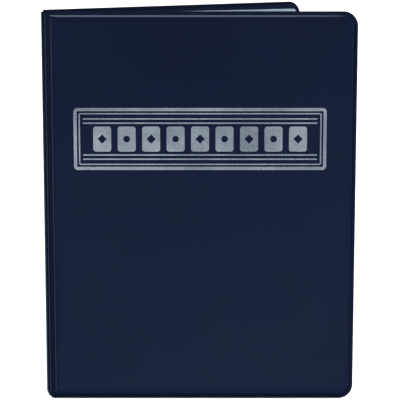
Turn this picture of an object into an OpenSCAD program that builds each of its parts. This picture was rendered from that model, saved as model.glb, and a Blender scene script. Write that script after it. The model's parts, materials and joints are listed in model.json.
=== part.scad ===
// Trading card binder: a welded vinyl album with bound nine-pocket leaves.
// It stands upright on its lower edge, part open. +Z runs up along the spine,
// the front cover faces -Y and its free edge points to +X. Millimetres.
// The cards set the pockets, the pockets set the leaves, and the leaves set the covers.

/* [Cards and pockets] */
// Width of one card
card_w = 63.5; // [50:0.5:90]
// Height of one card
card_h = 88.9; // [70:0.1:130]
// Side play of a card in its pocket
side_play = 3.3; // [1:0.1:8]
// Free height above a card before the next row starts
head_play = 4.9; // [3:0.1:12]
// How far a card stands out of the mouth of its pocket
card_show = 3; // [1:0.5:8]
// Pockets side by side on a leaf
pocket_cols = 3; // [1:1:4]
// Width of a weld line on a leaf
weld_line = 1.2; // [0.8:0.1:3]

/* [Leaves] */
// Number of bound leaves
leaf_count = 10; // [2:1:15]
// Distance from one leaf to the next along the spine
leaf_pitch = 1.7; // [1.4:0.1:4]
// Leaves that lie towards the front cover; the rest lie towards the back cover
front_leaves = 9; // [1:1:15]
// Share of a cover's opening that the leaf nearest to it takes
outer_share = 0.84; // [0.6:0.01:0.84]
// Share that the leaf furthest from it takes, in the same group
inner_share = 0.22; // [0.05:0.01:0.3]
// Thickness of a leaf's backing sheet
sheet_t = 0.25; // [0.15:0.05:0.4]
// Thickness of the film over the pockets
film_t = 0.15; // [0.1:0.05:0.3]
// Room for a card between the sheet and the film
pocket_gap = 0.25; // [0.2:0.05:0.4]
// Plain strip of a leaf between its flex line and the first pocket
leaf_margin = 6.3; // [3:0.1:20]
// Plain strip of a leaf above the top row
top_hem = 3; // [1:0.5:15]
// Radius of a leaf's free corners
leaf_corner_r = 3; // [1:0.5:10]

/* [Binding] */
// Thickness of the strip that holds the leaves in the spine
strip_t = 1.2; // [0.6:0.1:3]
// How far the strip reaches past the outermost leaves
strip_edge = 0.85; // [0.5:0.05:1.5]
// Distance from the spine to the flex lines of the leaves
bind_reach = 8; // [5:0.5:20]
// Thickness of a leaf's bound margin
margin_t = 0.6; // [0.4:0.1:0.8]
// Space between a bound margin and the leaf that turns on it
flex_gap = 0.35; // [0.3:0.05:0.6]

/* [Covers] */
// How far a cover reaches past the free edges of the leaves
cover_overhang = 12; // [2:0.5:30]
// How far a cover reaches past the leaves at the top and the bottom
leaf_inset = 5; // [2:0.5:20]
// How much nearer to the top than to the bottom the leaves are bound
leaf_rise = 1.7; // [0:0.1:1.9]
// Room between the outermost leaf and a closed cover's hinge axis
stack_side = 2.35; // [2.2:0.05:10]
// Thickness of the stiffening boards
board_t = 2; // [1:0.1:4]
// Thickness of the outer vinyl
skin_t = 0.4; // [0.2:0.05:0.8]
// Thickness of the inner vinyl
liner_t = 0.3; // [0.2:0.05:0.8]
// Width of the welded rim round a board
weld_w = 2.5; // [1:0.1:6]
// Radius of a cover's free corners
corner_r = 11; // [7:0.5:30]

/* [Hinges] */
// Width of the bare vinyl between a cover's board and the spine's board
crease_w = 3.4; // [3:0.1:5]
// Radius of the bead on a hinge axis
bead_r = 0.5; // [0.4:0.05:0.8]
// Space between a bead and the cover that turns on it
bead_gap = 0.3; // [0.3:0.05:0.6]
// Opening of the front cover, from closed
front_open = 13; // [0:0.5:90]
// Opening of the back cover, from closed
back_open = 17; // [0:0.5:90]

/* [Foil] */
// Width of the foil ornament
foil_w = 190; // [150:1:210]
// Height of the foil ornament
foil_h = 47; // [40:1:60]
// Distance from the top of the cover to the ornament
foil_drop = 72; // [20:1:200]
// Shift of the ornament from the middle of the board, towards the free edge
foil_shift = -1.5; // [-10:0.5:10]
// Thickness of the foil
foil_t = 0.08; // [0.05:0.01:0.2]
// Width of the ornament's outer frame line
foil_line = 2.4; // [1:0.1:2.8]
// Width of its fine lines
fine_line = 1; // [0.6:0.1:1.4]
// Distance from one fine line to the next
line_pitch = 3.2; // [2.4:0.1:4]
// Cards in the ornament's row
foil_cards = 9; // [3:2:9]
// Width of one card in the row
foil_card_w = 13.5; // [8:0.5:14]
// Height of one card in the row
foil_card_h = 19; // [12:0.5:20]
// Distance from one card to the next
foil_card_pitch = 18.4; // [15:0.1:19]

/* [Hidden] */
pocket_rows = 3;
pocket_w = card_w + side_play;
col_pitch = pocket_w + weld_line;
row_pitch = weld_line + card_h + head_play;
field_w = pocket_cols * col_pitch + weld_line;
film_h = weld_line + card_h - card_show;
leaf_w = leaf_margin + field_w;
leaf_h = pocket_rows * row_pitch + top_hem;

cover_h = leaf_h + 2 * leaf_inset;
leaf_foot = leaf_inset + leaf_rise;
cover_w = bind_reach + leaf_w + cover_overhang;
stack_w = (leaf_count - 1) * leaf_pitch;
spine_w = stack_w + 2 * stack_side;
foot = crease_w / 2;
web_start = bead_r + bead_gap;

// Depths in a cover, counted outwards from the middle of its welded rim
web_out = (skin_t + liner_t) / 2;
liner_in = -web_out;
board_in = liner_in + liner_t;
board_out = board_in + board_t;
skin_out = board_out + skin_t;

// Depths in the spine's hollow, counted inwards
strip_out = web_out + strip_t;
film_in = sheet_t / 2 + pocket_gap;

foil_gap = 1.4;
foil_corner_r = 3;
foil_inner_r = 1.5;
foil_inset = foil_line + foil_gap;
foil_card_r = 2;
foil_pip = 5;
fine_line_gap = 2.56;

// Facets of the preview of a cover's corners, of a bead, and of the ornament's rounds
round_fn = 96;
bead_fn = 24;
foil_fn = 48;

// The origin is the middle of the standing album's box, on its lower edge.
back_angle = front_open + back_open;
back_hinge = [-spine_w * sin(front_open), spine_w * cos(front_open)];
x_low = -(spine_w - foot) * sin(front_open) - skin_out * cos(front_open);
x_high = cover_w;
y_low = -skin_out;
y_high = back_hinge[1] + (cover_w - weld_w) * sin(back_angle) + skin_out * cos(back_angle);
origin = [(x_low + x_high) / 2, (y_low + y_high) / 2, 0];

row_names = ["low", "mid", "top"];
front_group = min(front_leaves, leaf_count);
back_group = leaf_count - front_group;

function two(k) = k < 10 ? str("0", k) : str(k);
function leaf_node(k, part) = str("leaf_", two(k), "_", part);
// Place of leaf k along the spine, and its angle at rest: each group fans evenly.
function leaf_s(k) = stack_side + (k - 1) * leaf_pitch;
function group_share(place, count) =
    outer_share - (outer_share - inner_share) * (place - 1) / max(1, count - 1);
function leaf_angle(k) = k <= front_group
    ? -group_share(k, front_group) * front_open
    : group_share(leaf_count + 1 - k, back_group) * back_open;

// ---- places ----

// A cover's own frame: x from the hinge axis to the free edge, -y outwards, z up.
module at_front() {
    translate(-origin) children();
}

module at_back() {
    translate([back_hinge[0], back_hinge[1], 0] - origin)
        rotate([0, 0, back_angle]) mirror([0, 1, 0]) children();
}

// The spine's frame: x from the front hinge to the back hinge, -y outwards.
module at_spine() {
    translate(-origin) rotate([0, 0, 90 + front_open]) mirror([0, 1, 0]) children();
}

// A leaf's frame: x from its flex line to its free edge, -y to the front cover.
module at_leaf(k) {
    at_spine() translate([leaf_s(k), bind_reach, leaf_foot])
        rotate([0, 0, 90 - leaf_angle(k)]) mirror([0, 1, 0]) children();
}

// A flat outline stood up on its lower edge, between two depths outwards.
module upright(from, to) {
    rotate([90, 0, 0]) translate([0, 0, from]) linear_extrude(to - from) children();
}

// ---- outlines ----

// A rectangle with its two corners at the far side rounded
module free_edge_outline(x0, x1, z0, z1, r) {
    translate([x0, z0]) square([x1 - x0 - r, z1 - z0]);
    translate([x0, z0 + r]) square([x1 - x0, z1 - z0 - 2 * r]);
    for (z = [z0 + r, z1 - r])
        translate([x1 - r, z]) circle(r, $fn = round_fn);
}

module cover_outline() {
    free_edge_outline(web_start, cover_w, 0, cover_h, corner_r);
}

module cover_panel_outline(inset = 0) {
    rim = weld_w + inset;
    free_edge_outline(foot + inset, cover_w - rim, rim, cover_h - rim, corner_r - rim);
}

module spine_outline() {
    translate([foot, 0]) square([spine_w - crease_w, cover_h]);
}

module spine_panel_outline(inset = 0) {
    rim = weld_w + inset;
    translate([foot + inset, rim]) square([spine_w - crease_w - 2 * inset, cover_h - 2 * rim]);
}

module leaf_outline() {
    free_edge_outline(margin_t / 2 + flex_gap, leaf_w, 0, leaf_h, leaf_corner_r);
}

// ---- covers and spine ----

module cover_skin() {
    difference() {
        union() {
            upright(board_in, web_out) cover_outline();
            upright(board_in, skin_out) cover_panel_outline();
        }
        upright(board_in, board_out) cover_panel_outline(skin_t);
    }
}

module cover_board() {
    upright(board_in, board_out) cover_panel_outline(skin_t);
}

module cover_liner() {
    upright(liner_in, board_in) cover_outline();
}

module front_skin() {
    color("midnightblue") at_front() cover_skin();
}

module front_board() {
    color("tan") at_front() cover_board();
}

module front_liner() {
    color("navy") at_front() cover_liner();
}

module back_skin() {
    color("midnightblue") at_back() cover_skin();
}

module back_board() {
    color("tan") at_back() cover_board();
}

module back_liner() {
    color("navy") at_back() cover_liner();
}

module spine_skin() {
    color("midnightblue") at_spine() difference() {
        union() {
            upright(board_in, web_out) spine_outline();
            upright(board_in, skin_out) spine_panel_outline();
        }
        upright(board_in, board_out) spine_panel_outline(skin_t);
    }
}

module spine_board() {
    color("tan") at_spine() upright(board_in, board_out) spine_panel_outline(skin_t);
}

module spine_liner() {
    color("navy") at_spine() upright(liner_in, board_in) spine_outline();
}

// The bare vinyl beside a hinge axis, with the bead on the axis
module crease(axis_x, web_x) {
    upright(liner_in, web_out) translate([web_x, 0]) square([foot, cover_h]);
    translate([axis_x, 0, 0]) cylinder(h = cover_h, r = bead_r, $fn = bead_fn);
}

module front_crease() {
    color("darkslateblue") at_spine() crease(0, 0);
}

module back_crease() {
    color("darkslateblue") at_spine() crease(spine_w, spine_w - foot);
}

// ---- foil ornament ----

module round_rect(w, h, r) {
    square([w - 2 * r, h], center = true);
    square([w, h - 2 * r], center = true);
    for (x = [-1, 1], z = [-1, 1])
        translate([x * (w / 2 - r), z * (h / 2 - r)]) circle(r, $fn = foil_fn);
}

module ring_line(w, h, r, line) {
    difference() {
        round_rect(w, h, r);
        round_rect(w - 2 * line, h - 2 * line, r - line);
    }
}

// A row of blank cards, each with a diamond or a disc left out of the foil
module card_row() {
    half = (foil_cards - 1) / 2;
    for (i = [-half:half]) translate([i * foil_card_pitch, 0]) difference() {
        round_rect(foil_card_w, foil_card_h, foil_card_r);
        if (i % 2 == 0) rotate(45) square(foil_pip, center = true);
        else circle(foil_pip / 2, $fn = foil_fn);
    }
}

// Two fine lines above the cards and two below
module fine_lines() {
    line_w = foil_w - 2 * foil_inset - 2 * line_pitch;
    for (side = [-1, 1], i = [0:1])
        translate([0, side * (foil_card_h / 2 + fine_line_gap + line_pitch * i)])
            square([line_w, fine_line], center = true);
}

module front_foil() {
    foil_z = cover_h - foil_drop - foil_h / 2;
    color("lightsteelblue") at_front() upright(skin_out, skin_out + foil_t)
        translate([(foot + cover_w - weld_w) / 2 + foil_shift, foil_z]) {
            ring_line(foil_w, foil_h, foil_corner_r, foil_line);
            ring_line(foil_w - 2 * foil_inset, foil_h - 2 * foil_inset, foil_inner_r, fine_line);
            fine_lines();
            card_row();
        }
}

// ---- binding ----

module binding_strip() {
    color("whitesmoke") at_spine() upright(-strip_out, liner_in)
        translate([stack_side - strip_edge, leaf_foot]) square([stack_w + 2 * strip_edge, leaf_h]);
}

module bound_margins() {
    color("white") at_spine() for (k = [1:leaf_count]) translate([leaf_s(k), 0, leaf_foot]) {
        translate([-margin_t / 2, strip_out, 0]) cube([margin_t, bind_reach - strip_out, leaf_h]);
        translate([0, bind_reach, 0]) cylinder(h = leaf_h, r = margin_t / 2, $fn = bead_fn);
    }
}

// ---- leaves ----

module leaf_sheet(k) {
    color("aliceblue") at_leaf(k) upright(-sheet_t / 2, sheet_t / 2) leaf_outline();
}

// One row of pockets: the film, the weld under it and the welds between its pockets
module leaf_pockets(k, row) {
    color("lightcyan") at_leaf(k) translate([leaf_margin, 0, row * row_pitch]) {
        upright(film_in, film_in + film_t) square([field_w, film_h]);
        upright(sheet_t / 2, film_in) {
            square([field_w, weld_line]);
            for (c = [0:pocket_cols]) translate([c * col_pitch, 0]) square([weld_line, film_h]);
        }
    }
}

front_skin();
front_board();
front_liner();
front_foil();
back_skin();
back_board();
back_liner();
spine_skin();
spine_board();
spine_liner();
front_crease();
back_crease();
binding_strip();
bound_margins();
for (k = [1:leaf_count]) {
    leaf_sheet(k);
    for (row = [0:pocket_rows - 1])
        leaf_pockets(k, row);
}
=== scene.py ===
import json
import math

import bmesh
import bpy
from mathutils import Matrix, Vector, noise

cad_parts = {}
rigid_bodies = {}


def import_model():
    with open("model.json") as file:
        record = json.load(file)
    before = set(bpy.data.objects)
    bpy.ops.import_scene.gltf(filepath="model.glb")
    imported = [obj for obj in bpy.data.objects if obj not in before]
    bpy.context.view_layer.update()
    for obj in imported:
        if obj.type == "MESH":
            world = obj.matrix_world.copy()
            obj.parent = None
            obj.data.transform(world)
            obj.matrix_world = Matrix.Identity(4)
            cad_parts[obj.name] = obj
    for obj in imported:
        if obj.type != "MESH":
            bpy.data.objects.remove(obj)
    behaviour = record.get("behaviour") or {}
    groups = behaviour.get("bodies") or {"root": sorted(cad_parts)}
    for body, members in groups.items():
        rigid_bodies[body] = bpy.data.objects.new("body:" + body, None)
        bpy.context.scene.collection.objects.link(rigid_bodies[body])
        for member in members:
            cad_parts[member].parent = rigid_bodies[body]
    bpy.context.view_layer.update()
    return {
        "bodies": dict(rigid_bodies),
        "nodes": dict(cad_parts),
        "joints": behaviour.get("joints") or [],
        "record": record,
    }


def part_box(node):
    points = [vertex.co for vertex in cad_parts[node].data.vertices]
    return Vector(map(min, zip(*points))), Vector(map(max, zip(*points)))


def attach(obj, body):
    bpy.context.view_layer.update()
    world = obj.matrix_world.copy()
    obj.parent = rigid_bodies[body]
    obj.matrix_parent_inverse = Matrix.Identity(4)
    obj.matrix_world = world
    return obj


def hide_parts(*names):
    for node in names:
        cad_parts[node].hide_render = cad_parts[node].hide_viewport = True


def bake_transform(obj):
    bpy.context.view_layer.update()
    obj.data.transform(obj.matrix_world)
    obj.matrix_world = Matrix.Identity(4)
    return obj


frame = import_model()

MM = 0.001
UP = Vector((0, 0, 1))

# A flat piece is made lying down: local x runs level along it, y up the album, and z out of its face.
ALONG = Vector((1, 0, 0))
ABOVE = Vector((0, 1, 0))
OUTWARDS = Vector((0, 0, 1))


# ---- the album's sizes, in metres: first what the frame gives ----

JOINTS = {joint["name"]: joint for joint in frame["joints"]}
RATIOS = {c["joint"]: c["ratio"] for c in frame["record"]["behaviour"]["couplings"]}


def axis_point(joint):
    """Where a joint's upright axis meets the floor."""
    x, y, _ = JOINTS[joint]["pos_m"]
    return Vector((x, y, 0))


def from_closed(joint):
    """How far a hinge stands open, in radians, from its closed limit."""
    return -math.radians(JOINTS[joint]["range_deg"][0])


FRONT_HINGE = axis_point("front_hinge")
BACK_HINGE = axis_point("back_hinge")
FRONT_OPEN = from_closed("front_hinge")
BACK_OPEN = from_closed("back_hinge")
FRONT_ANGLE = 0.0
BACK_ANGLE = FRONT_OPEN + BACK_OPEN
SPINE_ANGLE = FRONT_OPEN + math.pi / 2

LINER_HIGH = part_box("front_liner")[1]
COVER_W = LINER_HIGH.x - FRONT_HINGE.x
COVER_H = LINER_HIGH.z
SPINE_W = (BACK_HINGE - FRONT_HINGE).length
LEAF_LOW, LEAF_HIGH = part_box("leaf_01_sheet")
LEAF_H = LEAF_HIGH.z - LEAF_LOW.z
LEAF_BOTTOM = LEAF_LOW.z
LEAVES = sorted(name for name in frame["bodies"] if name.startswith("leaf_"))

# Depths in a cover, outwards from the middle of its welded rim
RIM_OUT = 0.35 * MM
SEAM = -0.05 * MM
LINER_IN = -0.35 * MM
LINER_RIM_IN = LINER_IN + 0.05 * MM
SKIN_OUT = 2.35 * MM
SKIN_T = 0.4 * MM
SKIN_FLAT = SKIN_OUT - 0.2 * MM
LINER_T = 0.23 * MM
BOARD_T = 1.8 * MM
BOARD_GAP = 0.02 * MM

CORNER_R = 11 * MM
CORNER_STEPS = 16
CREASE_END = 1.2 * MM
PANEL_FOOT = 1.4 * MM

# The outer vinyl's rings, from its edge to the flat of the panel: each ring's width and its rise
EDGE_RING = 0.5 * MM
WELD_RING = 1.5 * MM
GROOVE_RING = 0.5 * MM
GROOVE_DEPTH = 0.15 * MM
RIM_CROWN = 0.08 * MM
RIM_RINGS = ((EDGE_RING, RIM_CROWN), (WELD_RING, -RIM_CROWN), (GROOVE_RING, -GROOVE_DEPTH))
RIM_W = EDGE_RING + WELD_RING + GROOVE_RING
GROOVE_EASE = 0.12 * MM
SKIN_EDGE_EASE = 0.08 * MM

# The shoulder is a quarter round with a share of straight slant in it
SHOULDER_RUN = 2.5 * MM
SHOULDER_STEPS = 8
SHOULDER_SLANT = 0.22

# How much of their width the rim and the shoulder keep at the spine's two ends
END_SQUEEZE = 0.4

# The lining's rings, from its edge: each ring's width and its rise, inwards
LINER_RINGS = ((RIM_W - 0.2 * MM, 0), (0.25 * MM, -0.06 * MM), (0.5 * MM, 0.11 * MM))

BOARD_INSET = RIM_W + 0.9 * MM
BOARD_EASE = 1.2 * MM

# The cells of a panel's mesh, and how unevenly the vinyl and the lining lie, growing in from the edge
PANEL_CELL = 9 * MM
SKIN_DIP = 0.07 * MM
SKIN_DIPS_PER_M = 22
SKIN_DIP_GROWS = 12 * MM
SKIN_CLEAR = 0.01 * MM
LINER_RIPPLE = 0.06 * MM
LINER_RIPPLES_PER_M = (14, 30)
LINER_RIPPLE_GROWS = (2 * MM, 14 * MM)

# A crease: how softly it bends, its columns and rows, and what stays straight with the panel at each end
CREASE_BEND = 0.8 * MM
CREASE_CELLS = (36, 24)

# The grooves that the welding bar left in a crease, as depth and width
MIDDLE_GROOVE = (0.05 * MM, 0.4 * MM)
SIDE_GROOVE = (0.07 * MM, 0.22 * MM)
SIDE_GROOVE_AT = 0.9 * MM

# A leaf, from its flex line outwards
LEAF_START = 0.65 * MM
LEAF_CORNER_R = 3 * MM
LEAF_SAG = 1.7 * MM
LEAF_WAVE = 0.55 * MM
LEAF_WAVES_PER_M = (9, 7)
LEAF_WAVE_START = 10 * MM
SHEET_T = 0.25 * MM
SHEET_CELL_W = 11.3 * MM
SHEET_CELL_H = 11.9 * MM
LEAF_MARGIN = 6.3 * MM
WELD_LINE = 1.2 * MM
COL_PITCH = 68 * MM
ROW_PITCH = 95 * MM
COLS = 3
ROWS = ["low", "mid", "top"]
FIELD_W = COLS * COL_PITCH + WELD_LINE
LEAF_W = LEAF_MARGIN + FIELD_W

# The film of the pockets, which dips to the sheet at its welds and has a slight lip at its mouth
FILM_T = 0.15 * MM
FILM_H = 87.1 * MM
FILM_CLEAR = 0.012 * MM
FILM_LIP = 0.05 * MM
POCKET_GAP = 0.25 * MM
DIP_AT_SIDES = 2 * MM
DIP_AT_ENDS = 3 * MM
WELD_FADE = 0.5 * MM

# The film's mesh: shares of the pitch across a pocket, and lines near the welds and the mouth
FILM_LINES = (0.12, 0.3, 0.5, 0.7, 0.88)
BESIDE_WELD = 1.4 * MM
ABOVE_WELD = 1.6 * MM
FILM_ROWS_FROM = 4 * MM
FILM_ROW = 12 * MM
BELOW_MOUTH = 1.2 * MM

# The flex line: how softly the film bends between a leaf and its bound margin, and its columns and rows
FLEX_BEND = 0.2 * MM
FLEX_REACH = 1.1 * MM
FLEX_CELLS = (8, 2)
FLEX_T = SHEET_T + 0.04 * MM

# How near two places are that count as one when something is selected, and when a line is left out
NEAR = 0.1 * MM
HAIR = 0.01 * MM


# ---- working by hand: selecting, cutting, placing ----

def pick(kind, test):
    """In edit mode, selects only the vertices, edges or faces that pass the test."""
    bpy.ops.mesh.select_mode(type=kind)
    bpy.ops.mesh.select_all(action="DESELECT")
    mesh = bpy.context.object.data
    shape = bmesh.from_edit_mesh(mesh)
    items = {"VERT": shape.verts, "EDGE": shape.edges, "FACE": shape.faces}[kind]
    for item in items:
        if test(item):
            item.select_set(True)
    shape.select_flush_mode()
    bmesh.update_edit_mesh(mesh)


def pick_all():
    bpy.ops.mesh.select_mode(type="FACE")
    bpy.ops.mesh.select_all(action="SELECT")


def flat_sheet(name, x0, x1, height, z):
    """A rectangle in the local plane, left in edit mode."""
    bpy.ops.object.select_all(action="DESELECT")
    bpy.ops.mesh.primitive_plane_add(size=1, location=((x0 + x1) / 2, height / 2, z))
    sheet = bpy.context.object
    sheet.name = sheet.data.name = name
    sheet.scale = (x1 - x0, height, 1)
    bpy.ops.object.transform_apply(location=True, rotation=True, scale=True)
    bpy.ops.object.mode_set(mode="EDIT")
    return sheet


def round_corners(x, radius, segments):
    """Rounds the two corners that stand at this x."""
    pick("VERT", lambda v: abs(v.co.x - x) < NEAR)
    bpy.ops.mesh.bevel(offset=radius, segments=segments, affect="VERTICES", clamp_overlap=False)


def cut_across(direction, places):
    """Cuts the whole mesh along lines square to the direction."""
    for place in places:
        pick_all()
        bpy.ops.mesh.bisect(plane_co=direction * place, plane_no=direction)


def trim_beyond(direction, place):
    """Cuts away what lies past the place in that direction."""
    pick_all()
    bpy.ops.mesh.bisect(plane_co=direction * place, plane_no=direction, clear_outer=True)


def spaced(start, end, step):
    """Places between start and end, evenly spaced about a step apart."""
    count = max(2, round((end - start) / step))
    return [start + (end - start) * i / count for i in range(1, count)]


def use(piece):
    bpy.ops.object.select_all(action="DESELECT")
    piece.select_set(True)
    bpy.context.view_layer.objects.active = piece


def apply_modifier(piece, kind, **settings):
    use(piece)
    modifier = piece.modifiers.new(kind.title(), kind)
    for key, value in settings.items():
        setattr(modifier, key, value)
    bpy.ops.object.modifier_apply(modifier=modifier.name)


def heading(angle):
    """The level direction at this angle."""
    return Vector((math.cos(angle), math.sin(angle), 0))


def stood_up(origin, angle):
    """The place of an upright piece: local x in plan at the angle, local y up, local z to the right of x."""
    x = heading(angle)
    place = Matrix((x, UP, x.cross(UP))).transposed().to_4x4()
    place.translation = origin
    return place


def put(piece, place):
    """Moves a piece to its place and leaves the place in its mesh."""
    piece.matrix_world = place
    use(piece)
    bpy.ops.object.transform_apply(location=True, rotation=True, scale=True)
    bpy.ops.object.shade_smooth_by_angle(angle=math.radians(40))


def shape_by(piece, move):
    """Moves every vertex to where the rule says."""
    for vertex in piece.data.vertices:
        vertex.co = move(vertex.co)


def mark(piece, name, value_at):
    """Keeps a value per vertex for the materials, such as how much of the dark rim colour it takes, which is
    the weld's own tone and painted shade.
    """
    layer = piece.data.attributes.new(name, "FLOAT", "POINT")
    for i, vertex in enumerate(piece.data.vertices):
        layer.data[i].value = value_at(vertex.co)


def smooth_step(low, high, value):
    """Rises smoothly from 0 at low to 1 at high."""
    t = min(max((value - low) / (high - low), 0), 1)
    return t * t * (3 - 2 * t)


def dent(distance, depth, width):
    """How deep a rounded groove is at this distance from its middle."""
    return depth * math.exp(-((distance / width) ** 2))


# ---- materials ----

# Colours as linear light
NAVY_DEEP = (0.0061, 0.0122, 0.046, 1)
NAVY_PALE = (0.0075, 0.0156, 0.054, 1)
# The weld colour is also painted shade in the groove and at the foot of the shoulder.
NAVY_WELD_AND_GROOVE_SHADE = (0.0012, 0.0030, 0.014, 1)
# The crease colour is painted shade in the dip of each hinge.
NAVY_CREASE_SHADE = (0.0050, 0.0105, 0.042, 1)
LINING_DEEP = (0.0054, 0.0108, 0.040, 1)
LINING_PALE = (0.0068, 0.0140, 0.047, 1)
LINING_WELD = (0.0022, 0.0048, 0.026, 1)
BOARD_DEEP = (0.24, 0.20, 0.155, 1)
BOARD_PALE = (0.38, 0.33, 0.27, 1)
SILVER_DULL = (0.42, 0.49, 0.58, 1)
SILVER_BRIGHT = (0.62, 0.69, 0.77, 1)
SILVER_SPECK = (0.26, 0.32, 0.40, 1)
SHEET_TINT = (0.55, 0.71, 0.82, 1)
SHEET_MILK = (0.68, 0.82, 0.92, 1)
FILM_TINT = (0.62, 0.78, 0.88, 1)
FILM_MILK = (0.76, 0.88, 0.96, 1)
BINDING_TINT = (0.66, 0.74, 0.8, 1)
BINDING_MILK = (0.78, 0.84, 0.88, 1)
WHITE = (1, 1, 1, 1)

# Films: how much their haze varies, how much more a weld hides, and how much their roughness varies
HAZE = 0.04
WELD_CLOUD = 0.3
FILM_PATCHES = 0.12

# How much of the dark colour the rim has, partly the weld's own tone and partly painted shade, and the
# heights where the colour changes; the groove and the foot of the shoulder take all of it as painted shade
RIM_WELD_AND_SHADE_TINT = 0.3
ABOVE_RIM = 0.1 * MM
IN_GROOVE = -0.04 * MM
SHOULDER_SHADE_FADE = 0.7 * MM

# Where a Mix node keeps its first value, its second and its result, for each kind of data
MIX_SOCKETS = {"FLOAT": (2, 3, 0), "RGBA": (6, 7, 2)}


def node(tree, kind, **settings):
    made = tree.nodes.new(kind)
    for key, value in settings.items():
        setattr(made, key, value)
    return made


def set_or_link(tree, socket, value):
    """Gives a socket a plain value, or another node's output."""
    if isinstance(value, bpy.types.NodeSocket):
        tree.links.new(value, socket)
    else:
        socket.default_value = value


def feed(tree, made, **inputs):
    """Sets or links a node's inputs by name; an underscore in a name stands for a space."""
    for key, value in inputs.items():
        set_or_link(tree, made.inputs[key.replace("_", " ")], value)
    return made


def calculate(tree, operation, *values, clamp=False):
    """The result of a Math node."""
    made = node(tree, "ShaderNodeMath", operation=operation, use_clamp=clamp)
    for socket, value in zip(made.inputs, values):
        set_or_link(tree, socket, value)
    return made.outputs[0]


def ramp(tree, value, source, result, kind="SMOOTHSTEP"):
    """Turns a value's source range into the result range."""
    made = node(tree, "ShaderNodeMapRange", interpolation_type=kind)
    feed(tree, made, Value=value, From_Min=source[0], From_Max=source[1], To_Min=result[0], To_Max=result[1])
    return made.outputs["Result"]


def mix(tree, share, a, b, kind="RGBA"):
    """Goes from a to b by the share."""
    mixed = node(tree, "ShaderNodeMix", data_type=kind)
    first, second, result = MIX_SOCKETS[kind]
    for place, value in ((0, share), (first, a), (second, b)):
        set_or_link(tree, mixed.inputs[place], value)
    return mixed.outputs[result]


def group(name, inputs, output):
    """A node group with a Vector input, the named number inputs and one number as its output."""
    tree = bpy.data.node_groups.new(name, "ShaderNodeTree")
    tree.interface.new_socket("Vector", in_out="INPUT", socket_type="NodeSocketVector")
    for key in inputs:
        tree.interface.new_socket(key, in_out="INPUT", socket_type="NodeSocketFloat")
    tree.interface.new_socket(output, in_out="OUTPUT", socket_type="NodeSocketFloat")
    return tree, node(tree, "NodeGroupInput").outputs, node(tree, "NodeGroupOutput")


def mottle_group():
    """Soft cloudy patches, spread between Low and High."""
    tree, given, out = group("mottle", ["Scale", "Low", "High"], "Value")
    clouds = node(tree, "ShaderNodeTexNoise")
    feed(tree, clouds, Vector=given["Vector"], Scale=given["Scale"], Detail=4, Roughness=0.6)
    spread = ramp(tree, clouds.outputs["Fac"], (0.3, 0.7), (given["Low"], given["High"]), "LINEAR")
    feed(tree, out, Value=spread)
    return tree


def grain_group():
    """The height of a pressed grain: small cells with finer noise on them."""
    tree, given, out = group("grain", ["Scale"], "Height")
    cells = node(tree, "ShaderNodeTexVoronoi", feature="SMOOTH_F1")
    feed(tree, cells, Vector=given["Vector"], Scale=given["Scale"], Smoothness=0.6)
    fine = node(tree, "ShaderNodeTexNoise")
    feed(tree, fine, Vector=given["Vector"], Scale=given["Scale"], Detail=2)
    feed(tree, out, Height=calculate(tree, "ADD", cells.outputs["Distance"], fine.outputs["Fac"]))
    return tree


def scuff_group():
    """Hairline rubs: long thin streaks where a stretched noise crosses a narrow band."""
    tree, given, out = group("scuff", ["Scale", "Amount"], "Mask")
    stretch = node(tree, "ShaderNodeMapping")
    feed(tree, stretch, Vector=given["Vector"], Rotation=(0.3, 0.5, 0.2), Scale=(1, 1, 14))
    streaks = node(tree, "ShaderNodeTexNoise")
    feed(tree, streaks, Vector=stretch.outputs["Vector"], Scale=given["Scale"], Detail=3)
    feed(tree, out, Mask=ramp(tree, streaks.outputs["Fac"], (0.64, 0.7), (0, given["Amount"])))
    return tree


MOTTLE = mottle_group()
GRAIN = grain_group()
SCUFF = scuff_group()


def placed(tree, made_of, where, **values):
    """The output of a node group, placed in a material with its own values."""
    return feed(tree, node(tree, "ShaderNodeGroup", node_tree=made_of), Vector=where, **values).outputs[0]


def new_material(name):
    """A material with its shader and the coordinates of the piece."""
    material = bpy.data.materials.new(name)
    material.use_nodes = True
    tree = material.node_tree
    where = node(tree, "ShaderNodeTexCoord").outputs["Object"]
    return material, tree, tree.nodes["Principled BSDF"], where


def kept_value(tree, name):
    """What mark kept at each vertex under this name; 0 on a piece without it."""
    return node(tree, "ShaderNodeAttribute", attribute_name=name).outputs["Fac"]


def add_bump(tree, shader, height, distance):
    bump = node(tree, "ShaderNodeBump")
    feed(tree, bump, Height=height, Distance=distance, Strength=1.0)
    feed(tree, shader, Normal=bump.outputs["Normal"])


def roughness_from(tree, shader, where, scale, low, high, scuffs):
    """Roughness in soft patches, with hairline scuffs that are duller."""
    patches = placed(tree, MOTTLE, where, Scale=scale, Low=low, High=high)
    rubs = placed(tree, SCUFF, where, Scale=30, Amount=scuffs)
    feed(tree, shader, Roughness=calculate(tree, "ADD", patches, rubs, clamp=True))


def vinyl(name, deep, pale, weld, rough, specular, grain_depth, scuffs):
    """Smooth pressed vinyl, darker where it is welded, with painted shade in its grooves and creases given
    by the same dark colour.
    """
    material, tree, shader, where = new_material(name)
    clouds = placed(tree, MOTTLE, where, Scale=5, Low=0, High=1)
    panel_colour = mix(tree, clouds, deep, pale)
    # The kept rim value darkens the colour: the weld's own tone, and painted shade in the groove, at the
    # foot of the shoulder and along the creases.
    colour = mix(tree, kept_value(tree, "rim"), panel_colour, weld)
    feed(tree, shader, Base_Color=colour, Specular_IOR_Level=specular)
    roughness_from(tree, shader, where, 11, rough[0], rough[1], scuffs)
    add_bump(tree, shader, placed(tree, GRAIN, where, Scale=1400), grain_depth)
    return material


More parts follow.
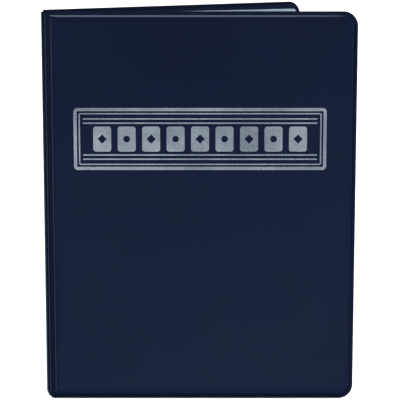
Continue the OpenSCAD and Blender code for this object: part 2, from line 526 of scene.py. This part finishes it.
def board_material():
    """Grey board of pressed paper fibre."""
    material, tree, shader, where = new_material("grey_board")
    fibres = placed(tree, MOTTLE, where, Scale=900, Low=0, High=1)
    feed(tree, shader, Base_Color=mix(tree, fibres, BOARD_DEEP, BOARD_PALE), Roughness=0.9)
    add_bump(tree, shader, fibres, 0.06 * MM)
    return material


def foil_material():
    """Stamped silver foil: it mirrors the room in worn patches and is chalky between them."""
    material, tree, shader, where = new_material("silver_foil")
    patches = placed(tree, MOTTLE, where, Scale=38, Low=0, High=1)
    silver = mix(tree, patches, SILVER_DULL, SILVER_BRIGHT)
    specks = placed(tree, MOTTLE, where, Scale=520, Low=-0.8, High=0.8)
    mirror = placed(tree, MOTTLE, where, Scale=24, Low=0.15, High=0.6)
    feed(tree, shader, Base_Color=mix(tree, specks, silver, SILVER_SPECK), Metallic=mirror)
    roughness_from(tree, shader, where, 90, 0.24, 0.42, 0.1)
    add_bump(tree, shader, placed(tree, GRAIN, where, Scale=900), 0.03 * MM)
    return material


def film_material(name, tint, milk, cover, rough):
    """Clear film with a faint milky bloom, cloudier where it is welded. cover is how much it hides."""
    material, tree, shader, where = new_material(name)
    bloom = placed(tree, MOTTLE, where, Scale=16, Low=0, High=1)
    haze = placed(tree, MOTTLE, where, Scale=9, Low=cover - HAZE, High=cover + HAZE)
    hides = calculate(tree, "MULTIPLY_ADD", kept_value(tree, "weld"), WELD_CLOUD, haze, clamp=True)
    feed(tree, shader, Base_Color=mix(tree, bloom, tint, milk), Alpha=hides)
    roughness_from(tree, shader, where, 20, rough, rough + FILM_PATCHES, 0.1)
    add_bump(tree, shader, placed(tree, MOTTLE, where, Scale=45, Low=0, High=1), 0.15 * MM)
    return material


OUTER_VINYL = vinyl("navy_vinyl", NAVY_DEEP, NAVY_PALE, NAVY_WELD_AND_GROOVE_SHADE,
                    rough=(0.16, 0.22), specular=0.5, grain_depth=0.008 * MM, scuffs=0.04)
# The creases are duller vinyl, and their darker colour is painted shade in the dip of the hinge.
CREASE_VINYL = vinyl("navy_vinyl_at_the_creases", NAVY_DEEP, NAVY_PALE, NAVY_CREASE_SHADE,
                     rough=(0.5, 0.6), specular=0.2, grain_depth=0.008 * MM, scuffs=0.04)
INNER_VINYL = vinyl("navy_lining", LINING_DEEP, LINING_PALE, LINING_WELD,
                    rough=(0.26, 0.3), specular=0.25, grain_depth=0.010 * MM, scuffs=0.0)
GREY_BOARD = board_material()
SILVER_FOIL = foil_material()
PAGE_SHEET = film_material("page_sheet", SHEET_TINT, SHEET_MILK, cover=0.5, rough=0.3)
POCKET_FILM = film_material("pocket_film", FILM_TINT, FILM_MILK, cover=0.2, rough=0.12)
BINDING_FILM = film_material("binding_film", BINDING_TINT, BINDING_MILK, cover=0.75, rough=0.35)


def finish_piece(piece, material, slot, *cad_nodes):
    piece.data.materials.clear()
    piece.data.materials.append(material)
    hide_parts(*cad_nodes)


# ---- covers and spine ----

def from_edge(co, low, high):
    """How far inside a panel's nearest edge a point is."""
    return min(co.y, COVER_H - co.y, abs(co.x - low), abs(high - co.x))


def weld_and_groove_shade_share(co):
    """1 in the groove and at the foot of the shoulder, as painted shade; less on the welded rim, for its
    weld and as painted shade; 0 on the raised panel.
    """
    height = abs(co.z) - RIM_OUT
    if height > ABOVE_RIM:
        return 1 - smooth_step(0, SHOULDER_SHADE_FADE, height)
    return 1 if height < IN_GROOVE else RIM_WELD_AND_SHADE_TINT


def narrow_ends(co):
    """Narrows the rim and the shoulder at the spine's two ends, and lengthens what is between them."""
    band, middle = RIM_W + SHOULDER_RUN, COVER_H / 2
    inside = min(co.y, COVER_H - co.y)
    if inside < band:
        moved = inside * END_SQUEEZE
    else:
        moved = middle - (middle - inside) * (middle - band * END_SQUEEZE) / (middle - band)
    return Vector((co.x, moved if co.y < middle else COVER_H - moved, co.z))


def raise_shoulder(rise):
    """Rounds the vinyl up from the groove on to the board, ring by ring."""
    slant = SHOULDER_SLANT / SHOULDER_STEPS
    for i in range(SHOULDER_STEPS):
        start, end = (math.pi / 2 * step / SHOULDER_STEPS for step in (i, i + 1))
        across = slant + (1 - SHOULDER_SLANT) * (math.cos(start) - math.cos(end))
        upwards = slant + (1 - SHOULDER_SLANT) * (math.sin(end) - math.sin(start))
        bpy.ops.mesh.inset(thickness=SHOULDER_RUN * across, depth=rise * upwards)


def trim_and_divide(low, high, trims):
    """Cuts a panel's layer off at its hinges, divides it into cells and leaves edit mode."""
    for direction, place in trims:
        trim_beyond(direction, place)
    cut_across(ALONG, spaced(low, high, PANEL_CELL))
    cut_across(ABOVE, spaced(0, COVER_H, PANEL_CELL))
    bpy.ops.object.mode_set(mode="OBJECT")


def vinyl_skin(name, low, high, free, trims):
    """The outer vinyl of a panel: a welded rim, a groove, a shoulder and the flat. free is the x of the
    edge whose corners are round."""
    skin = flat_sheet(name, low, high, COVER_H, RIM_OUT)
    if free is not None:
        round_corners(free, CORNER_R, CORNER_STEPS)
    pick_all()
    for width, rise in RIM_RINGS:
        bpy.ops.mesh.inset(thickness=width, depth=rise)
    raise_shoulder(SKIN_OUT - RIM_OUT + GROOVE_DEPTH)
    pick("EDGE", lambda e: all(v.co.z < RIM_OUT - 0.6 * GROOVE_DEPTH for v in e.verts))
    bpy.ops.mesh.bevel(offset=GROOVE_EASE, segments=2, affect="EDGES")
    trim_and_divide(low, high, trims)

    def settled(co):
        """The vinyl lies a hair uneven over its board, in another way on each panel."""
        if co.z < SKIN_FLAT:
            return co
        inside = from_edge(co, low, high) - (RIM_W + SHOULDER_RUN)
        spot = Vector((co.x * SKIN_DIPS_PER_M, co.y * SKIN_DIPS_PER_M, high * 90))
        dip = 0.5 + 0.5 * noise.noise(spot)
        return co - OUTWARDS * (SKIN_DIP * dip * smooth_step(0, SKIN_DIP_GROWS, inside) + SKIN_CLEAR)

    shape_by(skin, settled)
    apply_modifier(skin, "SOLIDIFY", thickness=SKIN_T, offset=-1)
    apply_modifier(skin, "BEVEL", width=SKIN_EDGE_EASE, segments=2,
                   limit_method="ANGLE", angle_limit=math.radians(60))
    # The dark colour in the groove and at the foot of the shoulder is painted shade; on the rim it is the
    # weld's tone and painted shade.
    mark(skin, "rim", weld_and_groove_shade_share)
    return skin


def vinyl_liner(name, low, high, free, trims):
    """The lining of a panel, with its flat a hair proud of its welded rim, on the inner side."""
    liner = flat_sheet(name, low, high, COVER_H, LINER_RIM_IN)
    if free is not None:
        round_corners(free, CORNER_R, CORNER_STEPS)
    pick_all()
    bpy.ops.mesh.flip_normals()
    for width, rise in LINER_RINGS:
        bpy.ops.mesh.inset(thickness=width, depth=rise)
    trim_and_divide(low, high, trims)

    def settled(co):
        """The lining draws in a little towards its board, in soft ripples."""
        inside = from_edge(co, low, high) - RIM_W
        across, upwards = LINER_RIPPLES_PER_M
        ripple = 0.5 + 0.5 * noise.noise(Vector((co.x * across, co.y * upwards, low * 70)))
        return co + OUTWARDS * LINER_RIPPLE * ripple * smooth_step(*LINER_RIPPLE_GROWS, inside)

    def weld_share(co):
        """1 in the lining's welded rim, 0 on its flat."""
        if from_edge(co, low, high) >= RIM_W + 0.4 * MM:
            return 0
        return 1 - smooth_step(-LINER_RIM_IN, -LINER_IN, -co.z)

    shape_by(liner, settled)
    mark(liner, "rim", weld_share)
    apply_modifier(liner, "SOLIDIFY", thickness=LINER_T, offset=-1)
    return liner


def stiff_board(name, low, high, free):
    """A panel's board, with its outer edges eased so that the vinyl rolls over them."""
    bpy.ops.object.select_all(action="DESELECT")
    middle = ((low + high) / 2, COVER_H / 2, SEAM + BOARD_T / 2 + BOARD_GAP)
    bpy.ops.mesh.primitive_cube_add(size=1, location=middle)
    board = bpy.context.object
    board.name = board.data.name = name
    board.scale = (high - low, COVER_H - 2 * BOARD_INSET, BOARD_T)
    bpy.ops.object.transform_apply(location=True, rotation=True, scale=True)
    bpy.ops.object.mode_set(mode="EDIT")
    if free is not None:
        pick("EDGE", lambda e: all(abs(v.co.x - free) < NEAR for v in e.verts)
             and abs(e.verts[0].co.z - e.verts[1].co.z) > MM)
        bpy.ops.mesh.bevel(offset=CORNER_R - BOARD_INSET, segments=10, affect="EDGES")
    pick("EDGE", lambda e: all(v.co.z > BOARD_T - 0.2 * MM for v in e.verts))
    bpy.ops.mesh.bevel(offset=BOARD_EASE, segments=4, affect="EDGES")
    bpy.ops.object.mode_set(mode="OBJECT")
    return board


def panel(body, side, place, width, hinged_twice):
    """A panel's three layers, from its hinge axis to its free edge or to its second hinge axis. side is the
    sign of the local x in that direction."""
    trims = [(-side * ALONG, -CREASE_END)]
    if hinged_twice:
        trims.append((side * ALONG, width - CREASE_END))
        free, far = None, width - PANEL_FOOT + RIM_W
    else:
        free, far = side * width, width
    low, high = sorted((side * (PANEL_FOOT - RIM_W), side * far))
    skin = vinyl_skin(f"{body}_outer_vinyl", low, high, free, trims)
    if hinged_twice:
        shape_by(skin, narrow_ends)
    liner = vinyl_liner(f"{body}_lining", low, high, free, trims)
    board_low, board_high = low + BOARD_INSET, high - BOARD_INSET
    board_free = None
    if free is not None:
        board_free = board_high if side > 0 else board_low
    board = stiff_board(f"{body}_stiffener", board_low, board_high, board_free)
    part = body.replace("_cover", "")
    for piece, material, slot, cad in (
        (skin, OUTER_VINYL, "outer_vinyl", "skin"),
        (liner, INNER_VINYL, "inner_vinyl", "liner"),
        (board, GREY_BOARD, "board", "board"),
    ):
        put(piece, place)
        finish_piece(piece, material, slot, f"{part}_{cad}")
        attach(piece, body)


def bent_path(arm_a, arm_b, bend):
    """A rounded corner that runs in along arm_a and out along arm_b: its point and its outward side."""
    def at(t):
        root = math.sqrt(t * t + bend * bend)
        point = arm_a * ((root - t) / 2) + arm_b * ((root + t) / 2)
        along = arm_b * ((1 + t / root) / 2) - arm_a * ((1 - t / root) / 2)
        return point, along.normalized().cross(UP)
    return at


def strip_along(name, path, reach, height, cells, thick, press):
    """An upright strip that follows a path, from -reach to reach along it. press says how far its outer
    face is pressed in there."""
    bpy.ops.object.select_all(action="DESELECT")
    bpy.ops.mesh.primitive_grid_add(x_subdivisions=cells[0], y_subdivisions=cells[1], size=1,
                                    location=(0, height / 2, 0))
    strip = bpy.context.object
    strip.name = strip.data.name = name
    strip.scale = (2 * reach, height, 1)
    bpy.ops.object.transform_apply(location=True, rotation=True, scale=True)
    apply_modifier(strip, "SOLIDIFY", thickness=thick, offset=0)

    def follow(co):
        point, side = path(co.x)
        out = co.z - press(co.x) if co.z > 0 else co.z
        return point + side * out + UP * co.y

    shape_by(strip, follow)
    return strip


def crease_press(t):
    """The grooves that the welding bar left: a shallow one in the middle and one at each side."""
    return dent(t, *MIDDLE_GROOVE) + dent(abs(t) - SIDE_GROOVE_AT, *SIDE_GROOVE)


def crease(name, hinge, arms):
    """The bare vinyl that bends at a hinge."""
    path = bent_path(*arms, CREASE_BEND)
    strip = strip_along(f"{name}_vinyl", path, CREASE_END, COVER_H, CREASE_CELLS, 2 * RIM_OUT, crease_press)
    # Half of the darker crease colour all over: painted shade in the dip of the hinge.
    mark(strip, "rim", lambda co: 0.5)
    strip.data.transform(Matrix.Translation(hinge))
    put(strip, Matrix.Identity(4))
    finish_piece(strip, CREASE_VINYL, "outer_vinyl", name)
    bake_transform(strip)


def make_covers():
    panel("front_cover", 1, stood_up(FRONT_HINGE, FRONT_ANGLE), COVER_W, False)
    panel("back_cover", -1, stood_up(BACK_HINGE, BACK_ANGLE + math.pi), COVER_W, False)
    panel("spine", -1, stood_up(FRONT_HINGE, SPINE_ANGLE + math.pi), SPINE_W, True)
    spine_way = heading(SPINE_ANGLE)
    crease("front_crease", FRONT_HINGE, (spine_way, heading(FRONT_ANGLE)))
    crease("back_crease", BACK_HINGE, (heading(BACK_ANGLE), -spine_way))


# ---- leaves ----

# The middles of a leaf's four upright weld lines
WELD_PLACES = [LEAF_MARGIN + WELD_LINE / 2 + COL_PITCH * i for i in range(COLS + 1)]


def from_weld(x):
    """How far a place is from the middle of the nearest upright weld line."""
    return min(abs(x - place) for place in WELD_PLACES)


def leaf_sheet():
    """The backing sheet, with cuts along the edges of its weld lines."""
    sheet = flat_sheet("leaf_sheet", LEAF_START, LEAF_W, LEAF_H, SHEET_T / 2)
    round_corners(LEAF_W, LEAF_CORNER_R, 6)
    half = WELD_LINE / 2
    welds = [w + s for w in WELD_PLACES[:-1] for s in (-half, half)]
    cut_across(ALONG, welds + spaced(LEAF_START, LEAF_W, SHEET_CELL_W))
    rows = [ROW_PITCH * i + s for i in range(1, len(ROWS)) for s in (0, WELD_LINE)] + [WELD_LINE]
    cut_across(ABOVE, rows + spaced(0, LEAF_H, SHEET_CELL_H))
    bpy.ops.object.mode_set(mode="OBJECT")
    apply_modifier(sheet, "SOLIDIFY", thickness=SHEET_T, offset=-1)
    return sheet


def pocket_row():
    """One row of three pockets: film that dips to the sheet at its welds and stands off between them."""
    half = WELD_LINE / 2
    film = flat_sheet("pocket_row", LEAF_MARGIN, LEAF_W, FILM_H, 0)
    lines = []
    for place in WELD_PLACES:
        lines += [place - half - BESIDE_WELD, place - half, place + half, place + half + BESIDE_WELD]
    for place in WELD_PLACES[:-1]:
        lines += [place + COL_PITCH * share for share in FILM_LINES]
    cut_across(ALONG, [x for x in lines if LEAF_MARGIN + HAIR < x < LEAF_W - HAIR])
    levels = [WELD_LINE, WELD_LINE + ABOVE_WELD] + spaced(FILM_ROWS_FROM, FILM_H, FILM_ROW)
    cut_across(ABOVE, levels + [FILM_H - BELOW_MOUTH])
    bpy.ops.object.mode_set(mode="OBJECT")
    floor = SHEET_T / 2 + FILM_CLEAR + FILM_T
    full = POCKET_GAP - FILM_CLEAR

    def stand_off(co):
        across = smooth_step(half, half + DIP_AT_SIDES, from_weld(co.x))
        upwards = smooth_step(WELD_LINE, WELD_LINE + DIP_AT_ENDS, co.y)
        lip = FILM_LIP * smooth_step(FILM_H - DIP_AT_ENDS, FILM_H, co.y) * across
        return Vector((co.x, co.y, floor + full * across * upwards + lip))

    shape_by(film, stand_off)
    apply_modifier(film, "SOLIDIFY", thickness=FILM_T, offset=-1)
    mark(film, "weld", lambda co: 1 - smooth_step(half, half + WELD_FADE, min(from_weld(co.x), co.y)))
    return film


def leaf_wave(number):
    """How one leaf hangs: it sags to its free edge, with a slow wave of its own that grows to it."""
    across, upwards = LEAF_WAVES_PER_M

    def at(co):
        reach = smooth_step(LEAF_WAVE_START, LEAF_W, co.x)
        slow = noise.noise(Vector((co.x * across, co.y * upwards, number * 3.7)))
        return Vector((co.x, co.y - LEAF_SAG * co.x / LEAF_W, co.z + LEAF_WAVE * slow * reach))
    return at


def copy_of(template, name):
    made = template.copy()
    made.data = template.data.copy()
    made.name = made.data.name = name
    bpy.context.scene.collection.objects.link(made)
    return made


def leaf_angle(leaf):
    """Where a leaf points at rest: along the closed covers, but turned its share of its cover's opening."""
    joint = f"{leaf}_flex"
    follows_front = JOINTS[joint]["axis"][2] < 0
    return FRONT_OPEN - RATIOS[joint] * (FRONT_OPEN if follows_front else -BACK_OPEN)


def leaf_flex(leaf, hinge, angle):
    """The flex line between a leaf's bound margin and the leaf."""
    path = bent_path(heading(FRONT_OPEN + math.pi), heading(angle), FLEX_BEND)
    strip = strip_along(f"{leaf}_flex_line", path, FLEX_REACH, LEAF_H, FLEX_CELLS, FLEX_T, lambda t: 0)
    strip.data.transform(Matrix.Translation(hinge))
    put(strip, Matrix.Identity(4))
    strip.data.materials.clear()
    strip.data.materials.append(PAGE_SHEET)
    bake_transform(strip)


def make_leaves():
    """Each leaf's backing and its three rows of pockets, copied from one sheet and one row."""
    sheet_template = leaf_sheet()
    row_template = pocket_row()
    for number, leaf in enumerate(LEAVES):
        angle = leaf_angle(leaf)
        hinge = axis_point(f"{leaf}_flex") + UP * LEAF_BOTTOM
        place = stood_up(hinge, angle)
        pieces = [(copy_of(sheet_template, f"{leaf}_backing"), PAGE_SHEET, "page_sheet", f"{leaf}_sheet", 0)]
        for i, row in enumerate(ROWS):
            film = copy_of(row_template, f"{leaf}_film_{row}")
            pieces.append((film, POCKET_FILM, "pocket_film", f"{leaf}_pockets_{row}", i * ROW_PITCH))
        for piece, material, slot, cad, rise in pieces:
            piece.data.transform(Matrix.Translation((0, rise, 0)))
            shape_by(piece, leaf_wave(number))
            put(piece, place)
            finish_piece(piece, material, slot, cad)
            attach(piece, leaf)
        leaf_flex(leaf, hinge, angle)
    bpy.data.objects.remove(sheet_template)
    bpy.data.objects.remove(row_template)


def paint_cad_nodes():
    """The pieces whose CAD shape is right get their materials."""
    for name, material in (
        ("front_foil", SILVER_FOIL),
        ("binding_strip", BINDING_FILM),
        ("bound_margins", BINDING_FILM),
    ):
        mesh = frame["nodes"][name].data
        mesh.materials.clear()
        mesh.materials.append(material)


# ---- studio ----

FLOOR_SIZE = 60
FLOOR_GREY = (0.90, 0.90, 0.90, 1)
FLOOR_PALE = (0.92, 0.92, 0.92, 1)
FLOOR_GLOW = 0.7

DAYLIGHT = (1.0, 1.0, 1.0)
COOL_CARD = (0.68, 0.77, 1.0)

# The room: the light from its left end, and what it shows in reflections
ROOM_LEFT = 0.05
MIRRORED_DARK = 0.02
MIRRORED_GLOW = 0.34
MIRRORED_TINT = (0.4, 0.66, 1, 1)

# The camera looks a little down, from straight in front, at a point near the middle of the front cover.
CAMERA_TARGET = Vector((0.00124, FRONT_HINGE.y, 0.1556))
CAMERA_AWAY = 1.2624
CAMERA_RISE = math.radians(9.99)
CAMERA_LENS = 149.9

# A look through all ten leaves crosses about forty faces of clear film.
CLEAR_FACES = 64


def make_floor():
    """A pale floor that doesn't light the album or show in its gloss: both come from the room."""
    bpy.ops.object.select_all(action="DESELECT")
    bpy.ops.mesh.primitive_plane_add(size=FLOOR_SIZE, location=(0, 0, 0))
    floor = bpy.context.object
    floor.name = "studio_floor"
    floor.visible_glossy = False
    floor.visible_diffuse = False
    material, tree, shader, where = new_material("pale_floor")
    shade = placed(tree, MOTTLE, where, Scale=0.8, Low=0, High=1)
    feed(tree, shader, Base_Color=mix(tree, shade, FLOOR_GREY, FLOOR_PALE), Roughness=0.9,
         Specular_IOR_Level=0.0, Emission_Color=WHITE, Emission_Strength=FLOOR_GLOW)
    floor.data.materials.append(material)


def aim(thing, target):
    thing.rotation_euler = (Vector(target) - thing.location).to_track_quat("-Z", "Y").to_euler()


def softbox(name, at, target, size, brightness, diffuse=True, gloss=True):
    """A soft light of a given brightness. Without gloss it isn't mirrored; without diffuse it is a card
    that is only mirrored."""
    light = bpy.data.lights.new(name, "AREA")
    light.shape = "RECTANGLE"
    light.size, light.size_y = size
    light.energy = brightness * math.pi * size[0] * size[1]
    light.color = DAYLIGHT if diffuse else COOL_CARD
    lamp = bpy.data.objects.new(name, light)
    bpy.context.scene.collection.objects.link(lamp)
    lamp.location = at
    lamp.visible_camera = False
    lamp.visible_diffuse = diffuse
    lamp.visible_glossy = gloss
    aim(lamp, target)


def make_world():
    """A white room. The light it gives is dimmer from the left, and in reflections it is dark and blue,
    with a soft glow low down in front and behind."""
    world = bpy.data.worlds.new("soft_room")
    bpy.context.scene.world = world
    world.use_nodes = True
    tree = world.node_tree
    way = node(tree, "ShaderNodeSeparateXYZ")
    feed(tree, way, Vector=node(tree, "ShaderNodeTexCoord").outputs["Generated"])
    low = ramp(tree, way.outputs["Z"], (0.0, -0.32), (0.0, MIRRORED_GLOW))
    front_or_back = calculate(tree, "ABSOLUTE", way.outputs["Y"])
    ahead = ramp(tree, front_or_back, (0.86, 0.97), (0.0, 1.0))
    mirrored = calculate(tree, "MULTIPLY_ADD", low, ahead, MIRRORED_DARK)
    given = ramp(tree, way.outputs["X"], (-0.1, -0.7), (1.0, ROOM_LEFT))
    rays = node(tree, "ShaderNodeLightPath").outputs
    strength = mix(tree, rays["Is Diffuse Ray"], 1.0, given, "FLOAT")
    strength = mix(tree, rays["Is Glossy Ray"], strength, mirrored, "FLOAT")
    tint = mix(tree, rays["Is Glossy Ray"], WHITE, MIRRORED_TINT)
    feed(tree, tree.nodes["Background"], Color=tint, Strength=strength)


def make_lights():
    middle = (0, 0, COVER_H / 2)
    softbox("key_softbox", (0.5, -1.3, 1.5), middle, (0.6, 0.6), 2.2, gloss=False)
    softbox("back_softbox", (0.6, 1.5, 1.3), middle, (0.8, 0.6), 1.5)
    softbox("overhead_card", (-0.4, -0.5, 1.5), (-0.4, -0.5, 0), (1.2, 1.3), 3.8, diffuse=False)
    softbox("left_card", (-1.1, -0.6, 0.0), (0, -0.1, 0), (0.8, 1.4), 0.9, diffuse=False)
    softbox("right_card", (1.2, -0.7, 0.2), (0, -0.1, 0.1), (0.5, 1.2), 0.2, diffuse=False)


def make_camera():
    camera = bpy.data.cameras.new("camera")
    camera.lens = CAMERA_LENS
    camera.sensor_width = 36
    camera.clip_end = 100
    holder = bpy.data.objects.new("camera", camera)
    bpy.context.scene.collection.objects.link(holder)
    away = Vector((0, -math.cos(CAMERA_RISE), math.sin(CAMERA_RISE)))
    holder.location = CAMERA_TARGET + away * CAMERA_AWAY
    aim(holder, CAMERA_TARGET)
    bpy.context.scene.camera = holder


def set_rendering():
    scene = bpy.context.scene
    scene.view_settings.view_transform = "Standard"
    scene.cycles.transparent_max_bounces = CLEAR_FACES


make_camera()
make_covers()
make_leaves()
paint_cad_nodes()
make_floor()
make_world()
make_lights()
set_rendering()
